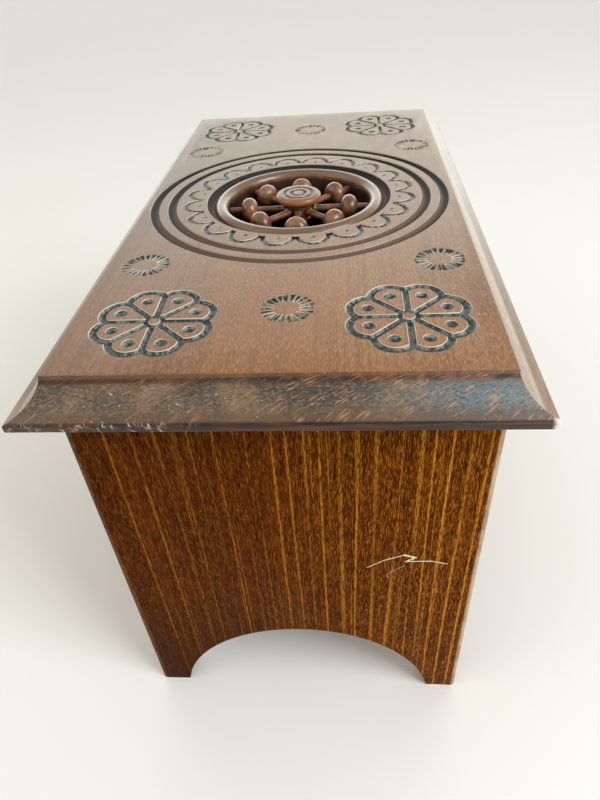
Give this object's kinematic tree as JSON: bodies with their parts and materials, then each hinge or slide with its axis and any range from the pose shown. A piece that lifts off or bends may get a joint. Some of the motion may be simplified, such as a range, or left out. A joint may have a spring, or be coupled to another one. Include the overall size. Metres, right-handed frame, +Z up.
{
  "type": "carved wooden box",
  "caption": "Footed wooden keepsake box with arched ends and a hinged, cove-moulded lid that holds a turned spindle wheel.",
  "frame": {"origin": "on the floor under the middle of the box", "axes": "+Z up, +Y along the length away from the near end panel, +X across to the back, where the hinges are"},
  "size_m": [0.15, 0.272, 0.1779],
  "materials": {
    "lid_wood": "dark stained beech, waxed",
    "carcass_wood": "dark stained beech, waxed",
    "turned_wood": "dark stained beech, polished",
    "hinge_brass": "dulled brass",
    "screw_brass": "dulled brass"
  },
  "bodies": {
    "box": {"near_end_panel": "carcass_wood", "far_end_panel": "carcass_wood", "front_panel": "carcass_wood", "back_panel": "carcass_wood", "bottom_panel": "carcass_wood", "near_hinge_box_leaf": "hinge_brass", "far_hinge_box_leaf": "hinge_brass", "near_hinge_pin": "hinge_brass", "far_hinge_pin": "hinge_brass", "hinge_box_screws": "screw_brass"},
    "lid": {"lid_board": "lid_wood", "wheel_rim": "turned_wood", "wheel_hub": "turned_wood", "wheel_spindle_1": "turned_wood", "wheel_spindle_2": "turned_wood", "wheel_spindle_3": "turned_wood", "wheel_spindle_4": "turned_wood", "wheel_spindle_5": "turned_wood", "wheel_spindle_6": "turned_wood", "wheel_spindle_7": "turned_wood", "wheel_spindle_8": "turned_wood", "near_hinge_lid_leaf": "hinge_brass", "far_hinge_lid_leaf": "hinge_brass", "hinge_lid_screws": "screw_brass"}
  },
  "joints": [
    {"name": "lid_hinge", "type": "hinge", "parent": "box", "child": "lid", "pos_m": [0.06825, 0, 0.16415], "axis": [0, 1, 0], "range_deg": [0, 105]}
  ]
}
